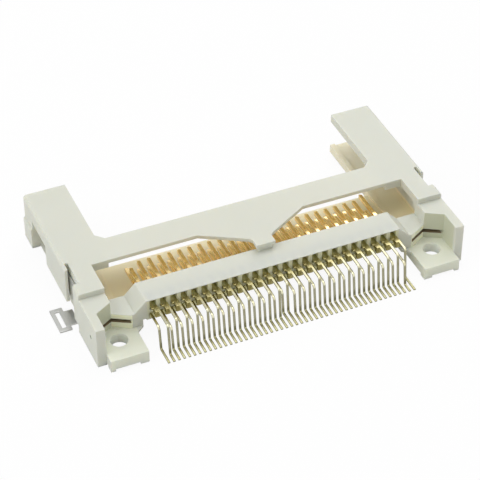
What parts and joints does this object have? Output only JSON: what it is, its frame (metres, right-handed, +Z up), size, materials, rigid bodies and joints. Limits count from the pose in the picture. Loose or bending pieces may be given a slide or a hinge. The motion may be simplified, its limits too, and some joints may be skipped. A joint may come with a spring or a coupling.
{
  "type": "shrouded pcb header",
  "caption": "Low ivory header with two side arms that guide a memory card onto two rows of gold pins, formed surface-mount leads in front, screw ears and side clips.",
  "frame": {"origin": "on the board plane, midway between the centres of the two screw holes", "axes": "+Z up from the board, +Y towards the rear ends of the arms, where the card goes in, +X to the right seen from the leads"},
  "size_m": [0.0504, 0.0281, 0.0061],
  "materials": {
    "housing": "moulded, satin",
    "contact": "gold plated, bright",
    "clip": "tin plated"
  },
  "bodies": {
    "root": {"housing": "housing", "contact_1": "contact", "contact_2": "contact", "contact_3": "contact", "contact_4": "contact", "contact_5": "contact", "contact_6": "contact", "contact_7": "contact", "contact_8": "contact", "contact_9": "contact", "contact_10": "contact", "contact_11": "contact", "contact_12": "contact", "contact_13": "contact", "contact_14": "contact", "contact_15": "contact", "contact_16": "contact", "contact_17": "contact", "contact_18": "contact", "contact_19": "contact", "contact_20": "contact", "contact_21": "contact", "contact_22": "contact", "contact_23": "contact", "contact_24": "contact", "contact_25": "contact", "contact_26": "contact", "contact_27": "contact", "contact_28": "contact", "contact_29": "contact", "contact_30": "contact", "contact_31": "contact", "contact_32": "contact", "contact_33": "contact", "contact_34": "contact", "contact_35": "contact", "contact_36": "contact", "contact_37": "contact", "contact_38": "contact", "contact_39": "contact", "contact_40": "contact", "contact_41": "contact", "contact_42": "contact", "contact_43": "contact", "contact_44": "contact", "contact_45": "contact", "contact_46": "contact", "contact_47": "contact", "contact_48": "contact", "contact_49": "contact", "contact_50": "contact", "clip_left": "clip", "clip_right": "clip"}
  },
  "joints": []
}
